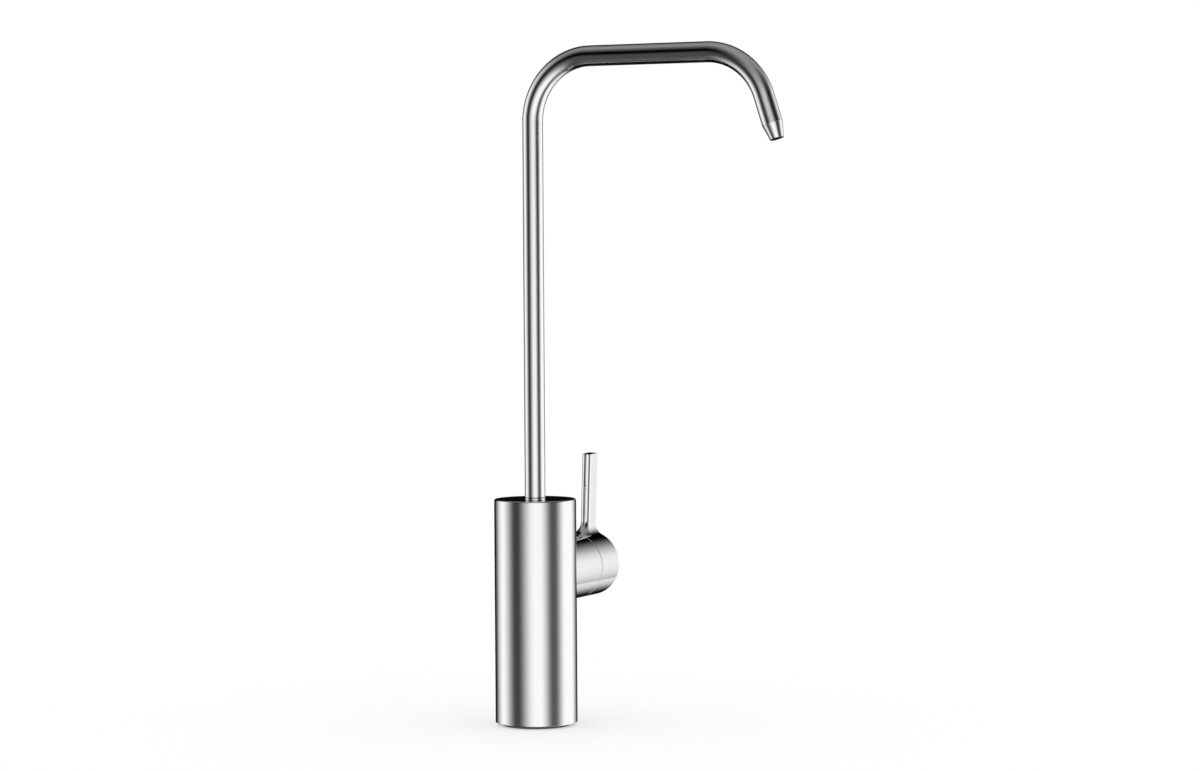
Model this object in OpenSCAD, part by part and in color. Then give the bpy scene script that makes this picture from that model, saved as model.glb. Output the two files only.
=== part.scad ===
// Drinking-water tap of a reverse osmosis purifier: a swivelling gooseneck spout on an upright
// barrel, and a quarter-turn lever valve on a branch at the barrel's right-hand side.
// Millimetres, +Z up, spout towards -Y, valve axis along +X, origin on the deck under the barrel.

/* [Barrel] */
// Outer diameter of the barrel
barrel_d = 40; // [38:0.5:46]
// Height of the barrel
barrel_h = 109; // [95:0.5:140]
// Wall thickness of the barrel
barrel_wall = 1.6; // [1.2:0.1:2.2]
// Thickness of the barrel's closed top
top_t = 3; // [2:0.25:5]
// Rounding of the barrel's upper edge
edge_r = 0.8; // [0.2:0.1:1]
// Rounding of the barrel's lower edge
foot_edge_r = 0.3; // [0.2:0.1:1]

/* [Base] */
// How far the gasket's rim lies inside the barrel's edge
gasket_inset = 3.5; // [2.5:0.1:4.5]
// Height of gasket that shows under the barrel
gasket_h = 1.5; // [1:0.1:3]
// Depth of the gasket's seat in the base plug
gasket_seat = 1; // [0.5:0.1:2]
// Width of the gasket's ring
gasket_w = 5; // [3:0.1:5.5]
// Diameter of the bore tapped for the mounting shank
shank_d = 18.6; // [16:0.1:19.5]
// Depth of the shank's tapped bore
shank_l = 10; // [6:0.5:14]
// Thickness of the base plug's web over the shank
web_t = 3; // [2:0.25:5]

/* [Inlet] */
// Diameter of the bore tapped for the supply hose
inlet_d = 9; // [8:0.1:10]
// Depth of the hose's tapped bore
inlet_l = 9; // [7:0.5:12]
// Wall of the inlet fitting's neck
inlet_wall = 2; // [1.5:0.1:2.4]
// Inlet fitting's hexagon across its flats
inlet_hex = 17; // [15.5:0.5:19]
// Metal over the hose's tapped bore
inlet_roof = 2; // [1:0.25:4]

/* [Water pipes] */
// Outer diameter of the two inner pipes
pipe_d = 6; // [5.4:0.1:6.6]
// Wall of the two inner pipes
pipe_wall = 0.6; // [0.4:0.1:1]
// Bend radius on the pipes' centreline
pipe_bend_r = 8; // [7:0.25:10]
// Straight length from a pipe's bend to the branch
pipe_lead = 2; // [1:0.25:4]
// Depth of the pipes' ends in their sockets
pipe_seat = 1.7; // [1:0.1:2.5]
// Straight length of the outlet pipe over its bend
outlet_rise = 5.5; // [2:0.5:12]

/* [Valve branch] */
// Diameter of the valve cartridge
cartridge_d = 25; // [22:0.5:28]
// Metal between the pipes' ends and the cartridge
floor_web = 0.8; // [0.5:0.1:2]
// Wall of the branch inside the barrel
spigot_wall = 2; // [1.5:0.1:3]
// How far the cartridge nut reaches past the cartridge
nut_lip = 1.5; // [1:0.1:2.5]
// Wall of the branch around the cartridge nut
branch_wall = 2; // [1.5:0.1:3]
// Depth of the cartridge nut below the branch's end
nut_recess = 2.1; // [1:0.1:4]

/* [Cartridge] */
// Wall of the cartridge's housing
cartridge_wall = 1.9; // [1.4:0.1:2.2]
// Diameter of the two water ports
port_d = 5; // [4.4:0.1:5.2]
// Distance between the two water ports
port_pitch = 12; // [11.4:0.1:13]
// Thickness of the port plate
plate_t = 3.8; // [3:0.1:5]
// Width of a port seal's ring
seal_w = 1.4; // [1:0.1:1.8]
// Thickness of a port seal
seal_t = 1.5; // [1.2:0.1:2]
// How far a port seal stands proud of the plate
seal_proud = 0.2; // [0.1:0.05:0.4]
// Thickness of the fixed ceramic disc
fixed_disc_t = 3.5; // [2.5:0.1:5]
// Thickness of the moving ceramic disc
moving_disc_t = 4; // [3.4:0.1:5]
// Depth of the moving disc's water channel
channel_depth = 1.8; // [1:0.1:2]
// Diameter of the spindle
spindle_d = 10; // [9:0.25:11]
// Diameter of the spindle's flange
flange_d = 19; // [17:0.25:19.5]
// Thickness of the spindle's flange
flange_t = 2.7; // [2:0.1:4]
// Length of the tang that turns the moving disc
tang_l = 13.5; // [11:0.25:15]
// Width of that tang
tang_w = 3; // [2:0.1:4]
// Height of that tang
tang_h = 1.2; // [0.8:0.1:1.3]
// Thickness of the thrust washer
thrust_t = 0.5; // [0.4:0.05:1]
// Thickness of the housing's shoulder under the nut
shoulder_t = 6.7; // [5:0.1:9]
// Diameter of the housing's neck
neck_d = 16; // [14.5:0.25:17]
// Length of the housing's neck
neck_l = 4.2; // [2:0.1:5]
// Height of the cartridge nut's thread
nut_thread_l = 3; // [2:0.1:4]
// Height of the cartridge nut's hexagon
nut_hex_l = 2.2; // [1.5:0.1:3]
// Cartridge nut's hexagon across its flats
nut_hex = 22; // [20:0.5:23.5]
// Section of the spindle's O-ring
spindle_ring = 1.4; // [1:0.1:1.6]

/* [Handle] */
// Gap between the branch and the handle
seam_gap = 0.4; // [0.35:0.05:0.8]
// Thickness of the glide ring in that gap
glide_t = 0.3; // [0.2:0.02:0.32]
// How far the glide ring lies below the surface
glide_inset = 0.4; // [0.2:0.1:0.8]
// Length of the handle's hub
hub_l = 18.7; // [17:0.1:24]
// Rounding of the hub's end
hub_edge = 0.4; // [0.3:0.1:2]
// Depth of the hollow in the hub
hub_hollow = 15.2; // [14.5:0.1:16]
// Wall of the hub around that hollow
hub_wall = 2.5; // [2:0.1:4]
// Diameter of the boss around the spindle's stem
hub_boss_d = 13.5; // [12:0.1:16]
// Square stem of the spindle across its flats
stem_af = 7; // [5.5:0.1:7]
// How far the stem reaches into the hub
stem_reach = 13; // [11:0.1:13.2]
// Room past the stem's end in the hub
stem_room = 1; // [0.5:0.1:1.2]
// Thickness of the lever
lever_t = 4.8; // [4:0.1:7]
// Width of the lever along the valve's axis
lever_w = 9; // [7:0.1:11]
// Height of the lever over the valve's axis
lever_h = 55.6; // [45:0.1:75]
// Forward lean of the lever when the valve is shut
lever_lean = 2; // [0:0.5:5]
// Fillet at the lever's two flat sides
root_r = 6; // [3:0.25:8]
// Fillet at the lever's rounded inner side
inner_root_r = 7; // [4:0.25:8]
// Distance of the grub screw from the hub's open end
grub_at = 8; // [6:0.1:9]
// Width of the rib around that screw
grub_rib = 8; // [7:0.1:10]
// Diameter of the handle's grub screw
grub_d = 4; // [3:0.25:5]
// Length of the handle's grub screw
grub_l = 6; // [4:0.25:7]
// Key size of that grub screw
grub_key = 2; // [1.5:0.1:2.2]
// Length of the plug that hides it
plug_l = 3; // [2:0.1:4]
// How far the plug lies below the hub's surface
plug_inset = 0.4; // [0.3:0.1:1]

/* [Spout] */
// Outer diameter of the spout's tube
spout_d = 10; // [9.5:0.1:12]
// Wall of the spout's tube
spout_wall = 0.8; // [0.6:0.05:1]
// Height of the level run's axis over the barrel
spout_rise = 214; // [120:0.5:260]
// Bend radius on the spout's centreline
bend_r = 31; // [20:0.5:45]
// Straight length of the level run
level_run = 61.5; // [20:0.5:120]
// Turn of the second bend
drop_angle = 72; // [45:1:90]
// Straight length after the second bend
drop_run = 13.7; // [12:0.1:40]

/* [Swivel] */
// Height of the socket's collar over the barrel
collar_h = 0.4; // [0.3:0.1:3]
// Thickness of the swivel washer on the collar
swivel_washer_t = 0.4; // [0.2:0.05:0.6]
// Diameter of the spout's socket
socket_d = 18; // [15:0.5:24]
// Length of the socket under the barrel's top
socket_l = 14; // [13:0.25:18]
// How far the tail is thinner than the tube's bore
tail_step = 0.3; // [0.2:0.05:0.4]
// Water bore of the tail
tail_bore_d = 4; // [3:0.1:4.4]
// Length of the tail inside the tube
tail_grip = 12; // [8:0.5:20]
// Room under the tail in its socket
tail_room = 2.5; // [1:0.25:4]
// Section of the tail's two O-rings
tail_ring = 1.2; // [1:0.05:1.25]
// Distance between the tail's rings
tail_ring_pitch = 2.5; // [2:0.1:2.8]
// Thickness of the snap ring that holds the tail
snap_t = 1.2; // [0.8:0.1:1.4]
// How far the snap ring reaches into the socket
snap_reach = 0.8; // [0.5:0.1:1.2]
// How deep the snap ring sits in the tail
snap_depth = 0.9; // [0.5:0.1:1.1]
// Opening of the snap ring
snap_open = 30; // [15:5:60]

/* [Nozzle] */
// Length of the nozzle's cone
nozzle_l = 7.6; // [5:0.1:14]
// Diameter of the nozzle's tip
tip_d = 6.6; // [6.2:0.1:8]
// Bore of the nozzle
nozzle_bore_d = 5.4; // [4:0.1:5.6]
// Length of the nozzle inside the tube
nozzle_grip = 9; // [8:0.1:11]
// Section of the nozzle's O-ring
nozzle_ring = 0.85; // [0.6:0.05:0.9]
// Height of that O-ring over the nozzle's shoulder
nozzle_ring_at = 3; // [2:0.1:4]
// Thickness of the flow straightener
straightener_t = 2.8; // [2:0.1:3.5]
// Wall of the nozzle around the straightener
straightener_wall = 0.75; // [0.5:0.05:1]
// Diameter of the straightener's holes
straightener_hole_d = 1.6; // [1:0.05:1.7]
// Circle of the straightener's outer holes
straightener_pitch_d = 4.2; // [3.8:0.1:4.6]

/* [Hidden] */
// Radial clearance of pieces that fit in one another
fit = 0.05;
// Film left between faces that slide on one another, and around an O-ring
film = 0.02;
// How far a cut runs past the face that it opens
past = 1;
// How far a fillet sinks into the hub so that the two surfaces cross
sink = 0.08;
// How much the sized end of the spout's tube is thinner on each face
end_step = 0.03;
// How far that sized end runs back into the bend's wall
end_lap = 0.8;
// Groove width of an O-ring in sections of that ring
groove_ratio = 1.25;
$fn = 96;

// Barrel and base
barrel_r = barrel_d / 2;
barrel_bore_r = barrel_r - barrel_wall;
barrel_z = gasket_h;
barrel_top = barrel_z + barrel_h;
gasket_r = barrel_r - gasket_inset;
gasket_bore_r = gasket_r - gasket_w;
web_z = barrel_z + shank_l;
plug_top = web_z + web_t;

// Inlet fitting
inlet_neck_r = inlet_d / 2 + inlet_wall;
inlet_top = web_z + inlet_l + inlet_roof;

// Pipes
pipe_r = pipe_d / 2;
pipe_bore_r = pipe_r - pipe_wall;
pipe_hole_r = pipe_r + fit;

// Spout socket and the height of the valve's axis under it
socket_z = barrel_top - top_t - socket_l;
outlet_z = socket_z - outlet_rise - pipe_bend_r;
valve_z = outlet_z - port_pitch / 2;
inlet_z = valve_z - port_pitch / 2;
inlet_rise = inlet_z - pipe_bend_r - inlet_top;

// Radii around the valve's axis
cartridge_r = cartridge_d / 2;
spigot_r = cartridge_r + fit + spigot_wall;
nut_r = cartridge_r + nut_lip;
branch_r = nut_r + branch_wall;
cavity_r = cartridge_r - cartridge_wall;
fixed_disc_r = cavity_r - 2 * fit;
moving_disc_r = fixed_disc_r - 6 * fit;
port_r = port_d / 2;
seal_r = port_r + seal_w + 2 * fit;
spindle_r = spindle_d / 2;
spindle_bore_r = spindle_r + fit;
neck_r = neck_d / 2;

// Stack along the valve's axis, from the barrel's axis outwards
floor_x = pipe_bend_r + pipe_lead;
cup_x = floor_x + pipe_seat + floor_web;
plate_x = cup_x + seal_proud;
fixed_x = plate_x + plate_t;
moving_x = fixed_x + fixed_disc_t + film;
flange_x = moving_x + moving_disc_t + film;
thrust_x = flange_x + flange_t + film;
shoulder_x = thrust_x + thrust_t + film;
nut_x = shoulder_x + shoulder_t;
neck_end = nut_x + neck_l;
nut_end = nut_x + nut_thread_l + nut_hex_l;
branch_end = nut_end + nut_recess;
hub_x = branch_end + seam_gap;
hub_end = hub_x + hub_l;
stem_end = hub_x + stem_reach;
lever_x = hub_end - lever_w;
lever_round_x = lever_x + lever_t / 2;
grub_x = hub_x + grub_at;
spindle_ring_x = shoulder_x + shoulder_t / 2;

// Spout
spout_r = spout_d / 2;
spout_bore_r = spout_r - spout_wall;
spout_z = barrel_top + spout_rise;
collar_top = barrel_top + collar_h;
spout_foot = collar_top + swivel_washer_t + film;
tail_r = spout_bore_r - tail_step;
tail_hole_r = tail_r + fit;
tail_foot = socket_z + pipe_seat + tail_room;
snap_z = tail_foot + snap_t + 2 * fit;
ring_z = snap_z + snap_t + tail_ring_pitch;

// Repeated shapes

module along_valve(x) {
    translate([x, 0, valve_z]) rotate([0, 90, 0]) children();
}

module turned_with_handle() {
    translate([0, 0, valve_z]) rotate([lever_lean, 0, 0]) children();
}

module ports() {
    for (side = [-1, 1]) translate([side * port_pitch / 2, 0, 0]) children();
}

module ring(outer_r, inner_r) {
    difference() {
        circle(outer_r);
        circle(inner_r);
    }
}

module sleeve(outer_r, inner_r, length) {
    linear_extrude(length) ring(outer_r, inner_r);
}

module bent_sleeve(outer_r, inner_r, radius, angle) {
    rotate_extrude(angle = angle) translate([radius, 0]) ring(outer_r, inner_r);
}

module hexagon(across_flats, height) {
    cylinder(d = across_flats / cos(30), h = height, $fn = 6);
}

module round_ended_rod(radius, length, edge) {
    rotate_extrude() {
        square([radius, length - edge]);
        square([radius - edge, length]);
        translate([radius - edge, length - edge]) circle(edge);
    }
}

// An O-ring that seals in a hole of the given radius, centred on the XY plane
module o_ring(hole_r, section) {
    rotate_extrude() translate([hole_r - film - section / 2, 0]) circle(section / 2);
}

// The groove that such an O-ring lies in, cut into a rod
module o_ring_groove(hole_r, section) {
    translate([0, 0, -section * groove_ratio / 2])
        sleeve(hole_r + past, hole_r - section - 2 * film, section * groove_ratio);
}

// An elbow from the valve branch, along +X, that rises about the barrel's axis
module elbow_pipe(rise) {
    translate([pipe_bend_r, 0, 0]) rotate([0, 90, 0]) sleeve(pipe_r, pipe_bore_r, pipe_lead + pipe_seat);
    translate([pipe_bend_r, 0, pipe_bend_r]) rotate([90, 0, 0]) rotate(180)
        bent_sleeve(pipe_r, pipe_bore_r, pipe_bend_r, 90);
    translate([0, 0, pipe_bend_r]) sleeve(pipe_r, pipe_bore_r, rise);
}

// A place on the spout after the given turn of the bend at y, with +Z along the flow
module on_spout(y, turn) {
    translate([0, y, spout_z - bend_r]) rotate([turn, 0, 0]) translate([0, 0, bend_r]) rotate([90, 0, 0])
        children();
}

module at_nozzle() {
    on_spout(-bend_r - level_run, drop_angle) translate([0, 0, drop_run]) children();
}

// Barrel and base

module barrel_outline() {
    translate([0, barrel_z]) square([barrel_r - foot_edge_r, barrel_h / 2]);
    translate([0, barrel_z + barrel_h / 2]) square([barrel_r - edge_r, barrel_h / 2]);
    translate([0, barrel_z + foot_edge_r]) square([barrel_r, barrel_h - foot_edge_r - edge_r]);
    translate([barrel_r - foot_edge_r, barrel_z + foot_edge_r]) circle(foot_edge_r);
    translate([barrel_r - edge_r, barrel_top - edge_r]) circle(edge_r);
}

module barrel() {
    color("silver") difference() {
        rotate_extrude() difference() {
            barrel_outline();
            translate([0, barrel_z - past]) square([barrel_bore_r, barrel_h - top_t + past]);
            square([spout_r + fit, barrel_top + past]);
        }
        along_valve(0) cylinder(r = spigot_r + fit, h = barrel_d);
    }
}

module base_plug() {
    color("darkgray") difference() {
        translate([0, 0, barrel_z]) cylinder(r = barrel_bore_r - fit, h = plug_top - barrel_z);
        translate([0, 0, barrel_z - past]) cylinder(d = shank_d, h = shank_l + past);
        cylinder(r = inlet_neck_r + fit, h = plug_top + past);
        translate([0, 0, barrel_z - past])
            sleeve(gasket_r + fit, gasket_bore_r - fit, gasket_seat + past);
    }
}

module base_gasket() {
    color("dimgray") sleeve(gasket_r, gasket_bore_r, gasket_h + gasket_seat);
}

module inlet_fitting() {
    color("goldenrod") difference() {
        union() {
            translate([0, 0, web_z]) cylinder(r = inlet_neck_r, h = web_t);
            translate([0, 0, plug_top]) hexagon(inlet_hex, inlet_top - plug_top);
            translate([0, 0, inlet_top]) cylinder(r = inlet_neck_r, h = pipe_seat);
        }
        translate([0, 0, web_z - past]) cylinder(d = inlet_d, h = inlet_l + past);
        translate([0, 0, web_z]) cylinder(r = pipe_bore_r, h = inlet_top);
        translate([0, 0, inlet_top]) cylinder(r = pipe_hole_r, h = pipe_seat + past);
    }
}

module inlet_pipe() {
    color("lightgray") translate([0, 0, inlet_z]) mirror([0, 0, 1]) elbow_pipe(inlet_rise);
}

module outlet_pipe() {
    color("lightgray") translate([0, 0, outlet_z]) elbow_pipe(outlet_rise + pipe_seat);
}

module spout_socket() {
    color("silver") difference() {
        union() {
            translate([0, 0, socket_z]) cylinder(d = socket_d, h = socket_l);
            translate([0, 0, socket_z]) cylinder(r = spout_r, h = collar_top - socket_z);
        }
        translate([0, 0, tail_foot - tail_room / 2]) cylinder(r = tail_hole_r, h = collar_top);
        translate([0, 0, socket_z]) cylinder(r = pipe_bore_r, h = socket_l);
        translate([0, 0, socket_z - past]) cylinder(r = pipe_hole_r, h = pipe_seat + past);
        translate([0, 0, snap_z - fit])
            cylinder(r = tail_hole_r + snap_reach + 2 * fit, h = snap_t + 2 * fit);
    }
}

// Valve

module valve_branch() {
    color("silver") difference() {
        union() {
            difference() {
                along_valve(0) cylinder(r = branch_r, h = branch_end);
                translate([0, 0, valve_z - branch_r - past])
                    cylinder(r = barrel_r + film, h = 2 * (branch_r + past));
            }
            along_valve(floor_x) cylinder(r = spigot_r, h = nut_x - floor_x);
        }
        along_valve(cup_x) cylinder(r = cartridge_r + fit, h = branch_end);
        along_valve(nut_x) cylinder(r = nut_r + fit, h = branch_end);
        along_valve(floor_x - past) ports() cylinder(r = pipe_hole_r, h = pipe_seat + past);
        along_valve(floor_x) ports() cylinder(r = port_r, h = cup_x);
    }
}

module port_seals() {
    color("dimgray") along_valve(cup_x) ports() sleeve(port_r + seal_w, port_r, seal_t);
}

module port_plate() {
    color("white") along_valve(plate_x) difference() {
        cylinder(r = cartridge_r, h = plate_t);
        translate([0, 0, -past]) ports() cylinder(r = port_r, h = plate_t + 2 * past);
        translate([0, 0, -past]) ports() cylinder(r = seal_r, h = seal_t - seal_proud + past);
    }
}

module fixed_disc() {
    color("ivory") along_valve(fixed_x) difference() {
        cylinder(r = fixed_disc_r, h = fixed_disc_t);
        translate([0, 0, -past]) ports() cylinder(r = port_r, h = fixed_disc_t + 2 * past);
    }
}

// The water channel lies across the two ports while the valve is shut
module moving_disc() {
    color("ivory") turned_with_handle() translate([moving_x, 0, 0]) rotate([0, 90, 0]) difference() {
        cylinder(r = moving_disc_r, h = moving_disc_t);
        translate([0, 0, -past]) linear_extrude(channel_depth + past) {
            square([port_d, port_pitch], center = true);
            for (side = [-1, 1]) translate([0, side * port_pitch / 2]) circle(port_r);
        }
        translate([0, 0, moving_disc_t - tang_h - fit]) linear_extrude(tang_h + past)
            square([tang_w + 2 * fit, tang_l + 2 * fit], center = true);
    }
}

module spindle() {
    color("goldenrod") turned_with_handle() translate([flange_x, 0, 0]) rotate([0, 90, 0]) difference() {
        union() {
            cylinder(d = flange_d, h = flange_t);
            cylinder(r = spindle_r, h = neck_end - flange_x);
            translate([0, 0, -tang_h]) linear_extrude(flange_t) square([tang_w, tang_l], center = true);
            translate([0, 0, neck_end - flange_x]) linear_extrude(stem_end - neck_end)
                square(stem_af, center = true);
        }
        translate([0, 0, spindle_ring_x - flange_x]) o_ring_groove(spindle_bore_r, spindle_ring);
    }
}

module spindle_o_ring() {
    color("dimgray") along_valve(spindle_ring_x) o_ring(spindle_bore_r, spindle_ring);
}

module thrust_washer() {
    color("white") along_valve(thrust_x) sleeve(flange_d / 2, spindle_bore_r, thrust_t);
}

module cartridge_housing() {
    color("white") difference() {
        union() {
            along_valve(fixed_x) cylinder(r = cartridge_r, h = nut_x - fixed_x);
            along_valve(fixed_x) cylinder(r = neck_r, h = neck_end - fixed_x);
        }
        along_valve(fixed_x - past) cylinder(r = cavity_r, h = shoulder_x - fixed_x + past);
        along_valve(fixed_x) cylinder(r = spindle_bore_r, h = branch_end);
    }
}

module cartridge_nut() {
    color("goldenrod") along_valve(nut_x) difference() {
        union() {
            cylinder(r = nut_r, h = nut_thread_l);
            hexagon(nut_hex, nut_thread_l + nut_hex_l);
        }
        translate([0, 0, -past]) cylinder(r = neck_r + 2 * fit, h = branch_end);
    }
}

module glide_ring() {
    color("black") along_valve(branch_end) sleeve(branch_r - glide_inset, nut_r + 2 * fit, glide_t);
}

// Handle

module lever() {
    translate([lever_round_x, 0, 0]) cylinder(d = lever_t, h = lever_h);
    translate([lever_round_x, -lever_t / 2, 0]) cube([hub_end - lever_round_x, lever_t, lever_h]);
}

// Fillets between the lever's flat sides and the hub, drawn across the valve's axis
module side_fillets() {
    centre_y = lever_t / 2 + root_r;
    centre_z = sqrt(pow(branch_r + root_r - sink, 2) - pow(centre_y, 2));
    translate([lever_round_x, 0, 0]) rotate([90, 0, 90]) linear_extrude(hub_end - hub_edge - lever_round_x)
        difference() {
            polygon([[0, 0], [centre_y, centre_z], [-centre_y, centre_z]]);
            for (side = [-1, 1]) translate([side * centre_y, centre_z]) circle(root_r);
        }
}

// Fillet between the lever's inner side and the hub, drawn along the valve's axis
module inner_fillet() {
    translate([0, lever_t / 2, 0]) rotate([90, 0, 0]) linear_extrude(lever_t) difference() {
        translate([lever_x - inner_root_r, 0]) square([inner_root_r + lever_t / 2, branch_r + inner_root_r]);
        translate([lever_x - inner_root_r, branch_r + inner_root_r - sink]) circle(inner_root_r);
        translate([lever_x - inner_root_r, branch_r + inner_root_r - sink])
            square([inner_root_r, inner_root_r]);
    }
}

// The hollow leaves a boss for the spindle's stem, and a rib from it to the wall for the grub screw
module hub_cavity() {
    difference() {
        rotate([0, 90, 0]) cylinder(r = branch_r - hub_wall, h = hub_x + hub_hollow);
        translate([hub_x, 0, 0]) rotate([0, 90, 0]) cylinder(d = hub_boss_d, h = hub_hollow + past);
        translate([hub_x, -grub_rib / 2, -branch_r]) cube([hub_hollow + past, grub_rib, branch_r]);
    }
}

module handle() {
    color("silver") turned_with_handle() difference() {
        union() {
            translate([hub_x, 0, 0]) rotate([0, 90, 0]) round_ended_rod(branch_r, hub_l, hub_edge);
            lever();
            side_fillets();
            inner_fillet();
        }
        hub_cavity();
        translate([hub_x - past, 0, 0]) rotate([0, 90, 0]) linear_extrude(stem_reach + stem_room + past)
            square(stem_af + 2 * fit, center = true);
        translate([grub_x, 0, -branch_r - past]) cylinder(d = grub_d + 2 * fit, h = branch_r + past);
    }
}

module handle_screw() {
    color("gray") turned_with_handle() translate([grub_x, 0, -stem_af / 2 - 2 * fit - grub_l]) difference() {
        cylinder(d = grub_d, h = grub_l);
        translate([0, 0, -past]) hexagon(grub_key, grub_l / 2 + past);
    }
}

module handle_plug() {
    color("dimgray") turned_with_handle() translate([grub_x, 0, plug_inset - branch_r])
        cylinder(d = grub_d, h = plug_l);
}

// Spout

module swivel_washer() {
    color("black") translate([0, 0, collar_top]) sleeve(spout_r - fit, tail_hole_r, swivel_washer_t);
}

module snap_ring() {
    color("white") translate([0, 0, snap_z]) rotate(snap_open / 2)
        rotate_extrude(angle = 360 - snap_open)
            translate([tail_r - snap_depth + fit, 0]) square([snap_depth + snap_reach, snap_t]);
}

module tail_rings() {
    for (step = [0, 1]) translate([0, 0, ring_z + step * tail_ring_pitch]) children();
}

module spout_tail() {
    color("goldenrod") difference() {
        union() {
            translate([0, 0, tail_foot]) cylinder(r = tail_r, h = spout_foot - tail_foot);
            translate([0, 0, spout_foot]) cylinder(r = spout_bore_r - fit, h = tail_grip);
        }
        cylinder(d = tail_bore_d, h = spout_z);
        tail_rings() o_ring_groove(tail_hole_r, tail_ring);
        translate([0, 0, snap_z - fit]) sleeve(spout_r, tail_r - snap_depth, snap_t + 2 * fit);
    }
}

module tail_o_rings() {
    color("dimgray") tail_rings() o_ring(tail_hole_r, tail_ring);
}

module spout_tube() {
    color("silver") {
        translate([0, 0, spout_foot]) sleeve(spout_r, spout_bore_r, spout_z - bend_r - spout_foot);
        translate([0, -bend_r, spout_z - bend_r]) rotate([90, 0, 90])
            bent_sleeve(spout_r, spout_bore_r, bend_r, 90);
        on_spout(-bend_r, 0) sleeve(spout_r, spout_bore_r, level_run);
        translate([0, -bend_r - level_run, spout_z - bend_r]) rotate([90, 0, 90]) rotate(90)
            bent_sleeve(spout_r, spout_bore_r, bend_r, drop_angle);
        on_spout(-bend_r - level_run, drop_angle) translate([0, 0, -end_lap])
            sleeve(spout_r - end_step, spout_bore_r + end_step, drop_run + end_lap);
    }
}

module nozzle() {
    color("silver") at_nozzle() difference() {
        union() {
            cylinder(d1 = spout_d, d2 = tip_d, h = nozzle_l);
            translate([0, 0, -nozzle_grip]) cylinder(r = spout_bore_r - fit, h = nozzle_grip);
        }
        translate([0, 0, -nozzle_grip - past])
            cylinder(d = nozzle_bore_d, h = nozzle_grip + nozzle_l + 2 * past);
        translate([0, 0, -nozzle_grip - past])
            cylinder(r = spout_bore_r - straightener_wall, h = straightener_t + past);
        translate([0, 0, -nozzle_ring_at]) o_ring_groove(spout_bore_r, nozzle_ring);
    }
}

module nozzle_o_ring() {
    color("dimgray") at_nozzle() translate([0, 0, -nozzle_ring_at]) o_ring(spout_bore_r, nozzle_ring);
}

module flow_straightener() {
    outer_r = spout_bore_r - straightener_wall - fit;
    color("white") at_nozzle() translate([0, 0, -nozzle_grip]) difference() {
        cylinder(r = outer_r, h = straightener_t);
        translate([0, 0, -past]) cylinder(d = straightener_hole_d, h = straightener_t + 2 * past);
        for (turn = [0 : 60 : 300]) rotate(turn) translate([straightener_pitch_d / 2, 0, -past])
            cylinder(d = straightener_hole_d, h = straightener_t + 2 * past);
    }
}

barrel();
base_plug();
base_gasket();
inlet_fitting();
inlet_pipe();
outlet_pipe();
spout_socket();
valve_branch();
port_seals();
port_plate();
fixed_disc();
moving_disc();
spindle();
spindle_o_ring();
thrust_washer();
cartridge_housing();
cartridge_nut();
glide_ring();
handle();
handle_screw();
handle_plug();
swivel_washer();
snap_ring();
spout_tail();
tail_o_rings();
spout_tube();
nozzle();
nozzle_o_ring();
flow_straightener();
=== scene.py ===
# %% [markdown]
# A drinking-water tap in polished steel
#
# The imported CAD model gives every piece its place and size. This script dresses it: the mirror-polished
# pieces are rebuilt as fine meshes, because polished metal shows every facet, and the pieces inside keep
# their CAD shape and get a finish of their own.

import math

import bpy
import numpy as np
from mathutils import Matrix, Vector


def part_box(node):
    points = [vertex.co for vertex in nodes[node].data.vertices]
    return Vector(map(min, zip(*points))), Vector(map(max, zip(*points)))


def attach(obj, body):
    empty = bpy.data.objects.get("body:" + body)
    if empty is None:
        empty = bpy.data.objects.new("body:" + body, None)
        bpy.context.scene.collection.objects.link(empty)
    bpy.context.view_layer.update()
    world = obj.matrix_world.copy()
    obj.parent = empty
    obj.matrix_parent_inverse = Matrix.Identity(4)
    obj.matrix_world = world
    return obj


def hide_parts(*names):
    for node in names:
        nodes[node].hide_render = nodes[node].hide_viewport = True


MM = 0.001
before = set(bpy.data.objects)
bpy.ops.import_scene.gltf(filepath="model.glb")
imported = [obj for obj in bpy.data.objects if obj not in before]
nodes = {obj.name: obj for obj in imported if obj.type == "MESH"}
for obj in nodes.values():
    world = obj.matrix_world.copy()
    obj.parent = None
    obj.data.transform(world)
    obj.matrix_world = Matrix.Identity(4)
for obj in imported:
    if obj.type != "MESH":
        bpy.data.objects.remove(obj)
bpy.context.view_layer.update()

# %% [markdown]
# The camera
#
# A long lens from more than a metre and a half away, a little above the middle of the tap and almost
# level. The tap stands left of the picture's middle, so the camera looks past it. Heading, pitch and roll
# are turned into the camera's own axes, which is clearer than a look-at constraint when there is a small
# roll.

# %% Camera
LENS = 100.11
SENSOR_WIDTH = 36.0
CAMERA_PLACE = Vector((-1441.7, -741.8, 232.6)) * MM
CAMERA_HEADING = math.radians(26.10)
CAMERA_PITCH = math.radians(2.372)
CAMERA_ROLL = math.radians(-0.339)


def new_object(name, data):
    thing = bpy.data.objects.new(name, data)
    bpy.context.scene.collection.objects.link(thing)
    return thing


level_ahead = Vector((math.cos(CAMERA_HEADING), math.sin(CAMERA_HEADING), 0))
level_right = Vector((math.sin(CAMERA_HEADING), -math.cos(CAMERA_HEADING), 0))
world_up = Vector((0, 0, 1))
camera_ahead = math.cos(CAMERA_PITCH) * level_ahead - math.sin(CAMERA_PITCH) * world_up
camera_up = math.sin(CAMERA_PITCH) * level_ahead + math.cos(CAMERA_PITCH) * world_up
rolled_right = math.cos(CAMERA_ROLL) * level_right + math.sin(CAMERA_ROLL) * camera_up
rolled_up = math.cos(CAMERA_ROLL) * camera_up - math.sin(CAMERA_ROLL) * level_right

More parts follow.
